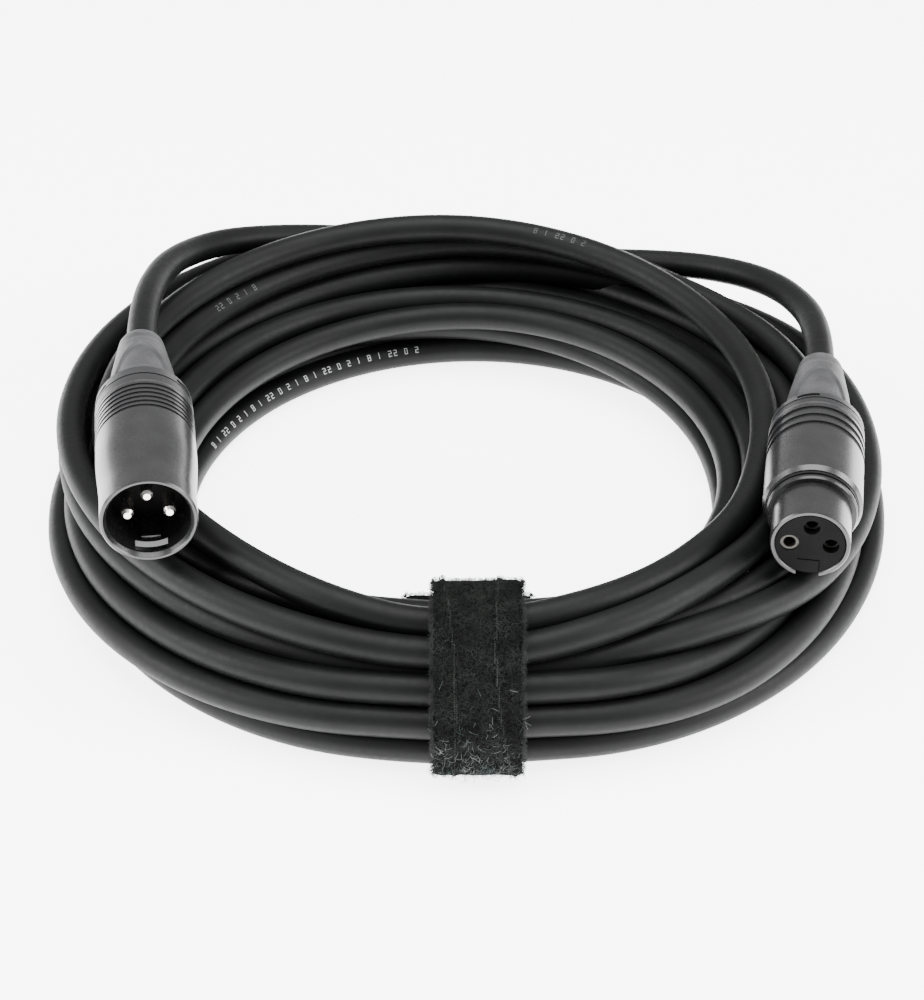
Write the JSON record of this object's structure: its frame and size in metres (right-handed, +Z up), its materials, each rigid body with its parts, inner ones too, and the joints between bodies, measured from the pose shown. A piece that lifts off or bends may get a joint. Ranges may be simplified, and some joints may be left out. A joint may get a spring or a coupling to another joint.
{
  "type": "xlr cable coil",
  "caption": "Microphone cable wound in a round coil, tied with a hook-and-loop strap, with a male and a female three-pin connector.",
  "frame": {"origin": "middle of the whole object, on the floor", "axes": "+Z up, -Y towards the strap and the connectors' mating faces, +X towards the female connector"},
  "size_m": [0.1821, 0.1825, 0.0506],
  "materials": {
    "cable_jacket": "matte soft plastic",
    "connector_black": "satin black coating",
    "insert_plastic": "fine matte",
    "contact_silver": "silver plate",
    "chuck_plastic": "plain",
    "nut_plastic": "satin",
    "boot_rubber": "matte grey rubber",
    "ring_black": "semi-gloss",
    "latch_black": "satin",
    "spring_steel": "bright",
    "screen_copper": "tinned strands",
    "core_red": "core insulation",
    "core_white": "core insulation",
    "strap_fabric": "napped loop pile"
  },
  "bodies": {
    "root": {"cable_coil": "cable_jacket", "male_tail_cable": "cable_jacket", "female_tail_cable": "cable_jacket", "strap_wrap": "strap_fabric", "strap_head": "strap_fabric", "male_shell": "connector_black", "male_insert": "insert_plastic", "male_ground_clip": "spring_steel", "male_chuck": "chuck_plastic", "male_boot_nut": "nut_plastic", "male_boot_sleeve": "boot_rubber", "male_cable_end": "cable_jacket", "male_screen": "screen_copper", "male_hot_core": "core_red", "male_cold_core": "core_white", "female_shell": "connector_black", "female_insert": "insert_plastic", "female_ground_clip": "spring_steel", "female_chuck": "chuck_plastic", "female_boot_nut": "nut_plastic", "female_boot_sleeve": "boot_rubber", "female_cable_end": "cable_jacket", "female_screen": "screen_copper", "female_hot_core": "core_red", "female_cold_core": "core_white", "male_pin_1": "contact_silver", "female_socket_1": "contact_silver", "male_pin_2": "contact_silver", "female_socket_2": "contact_silver", "male_pin_3": "contact_silver", "female_socket_3": "contact_silver", "female_front_ring": "ring_black", "female_latch_pin": "spring_steel", "female_latch_spring": "spring_steel"},
    "latch": {"female_latch": "latch_black"},
    "tab": {"strap_tab": "strap_fabric"}
  },
  "joints": [
    {"name": "latch_press", "type": "hinge", "parent": "root", "child": "latch", "pos_m": [0.07237, -0.02316, 0.02375], "axis": [-0.9877, 0.1564, 0], "range_deg": [0, 3.8], "stiffness_Nm_per_rad": 0.2, "springref_deg": -2.86, "deforming": ["female_latch_spring"]},
    {"name": "strap_peel", "type": "hinge", "parent": "root", "child": "tab", "pos_m": [0.002, -0.0649, 0.0307], "axis": [-1, 0, 0], "range_deg": [0, 100]}
  ]
}
